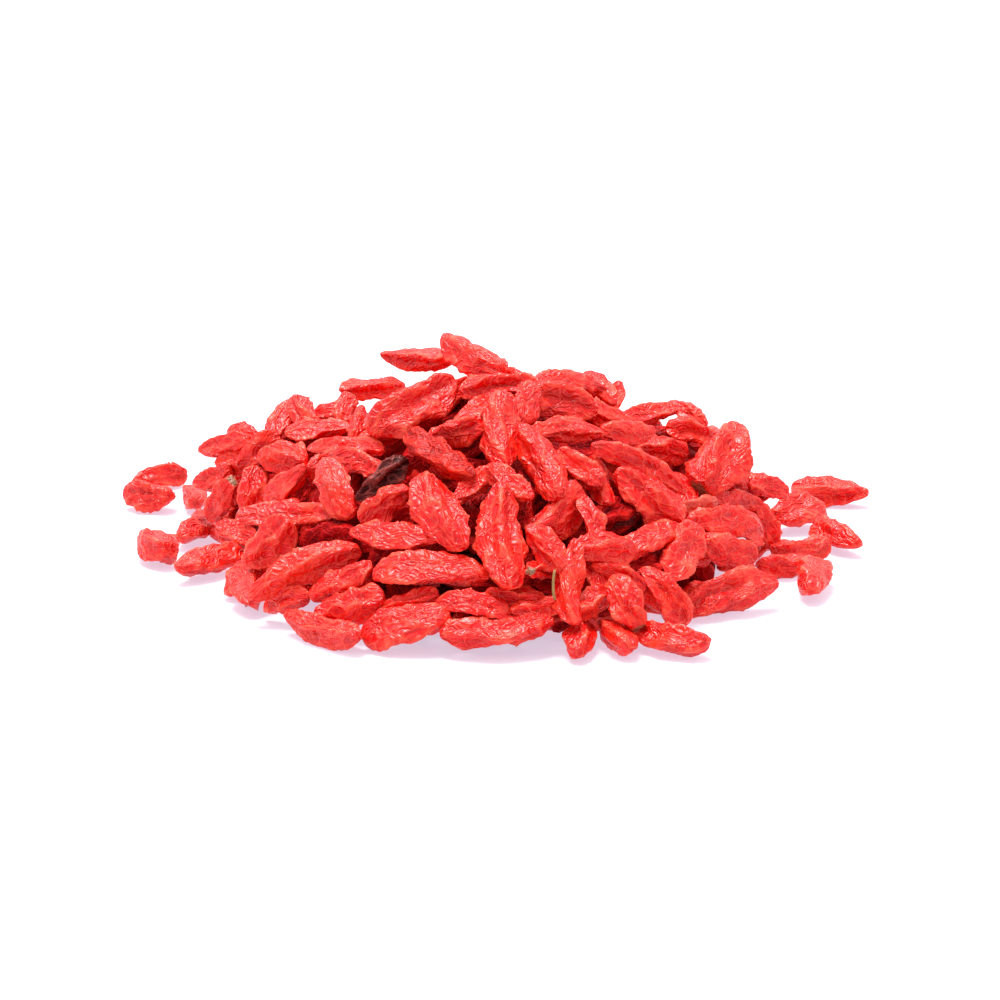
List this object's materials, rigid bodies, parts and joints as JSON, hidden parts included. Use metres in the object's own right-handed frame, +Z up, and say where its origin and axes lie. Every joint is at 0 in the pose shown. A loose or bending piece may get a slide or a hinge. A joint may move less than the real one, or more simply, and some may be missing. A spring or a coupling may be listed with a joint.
{
  "type": "heap of dried goji berries",
  "caption": "Loose heap of dried goji berries, low and wide, with a few strays round its foot, lying on a flat surface as food, filling or table dressing.",
  "frame": {"origin": "middle of the heap's base, on the surface that it rests on", "axes": "+X to the right and +Y away as the picture looks at the heap, +Z up"},
  "size_m": [0.1384, 0.1172, 0.0407],
  "materials": {
    "berry_red": "wrinkled dried fruit skin, satin, slightly waxy",
    "berry_brown": "dark brown dried fruit skin, satin",
    "berry_maroon": "dark red dried fruit skin, satin"
  },
  "bodies": {
    "root": {"heap": "berry_red", "brown_berry": "berry_brown", "maroon_berry": "berry_maroon", "stray_1": "berry_red", "stray_2": "berry_red", "stray_3": "berry_red", "stray_4": "berry_red", "stray_5": "berry_red", "stray_6": "berry_red", "stray_7": "berry_red", "stray_8": "berry_red", "stray_9": "berry_red", "stray_10": "berry_red", "stray_11": "berry_red", "stray_12": "berry_red"}
  },
  "joints": []
}
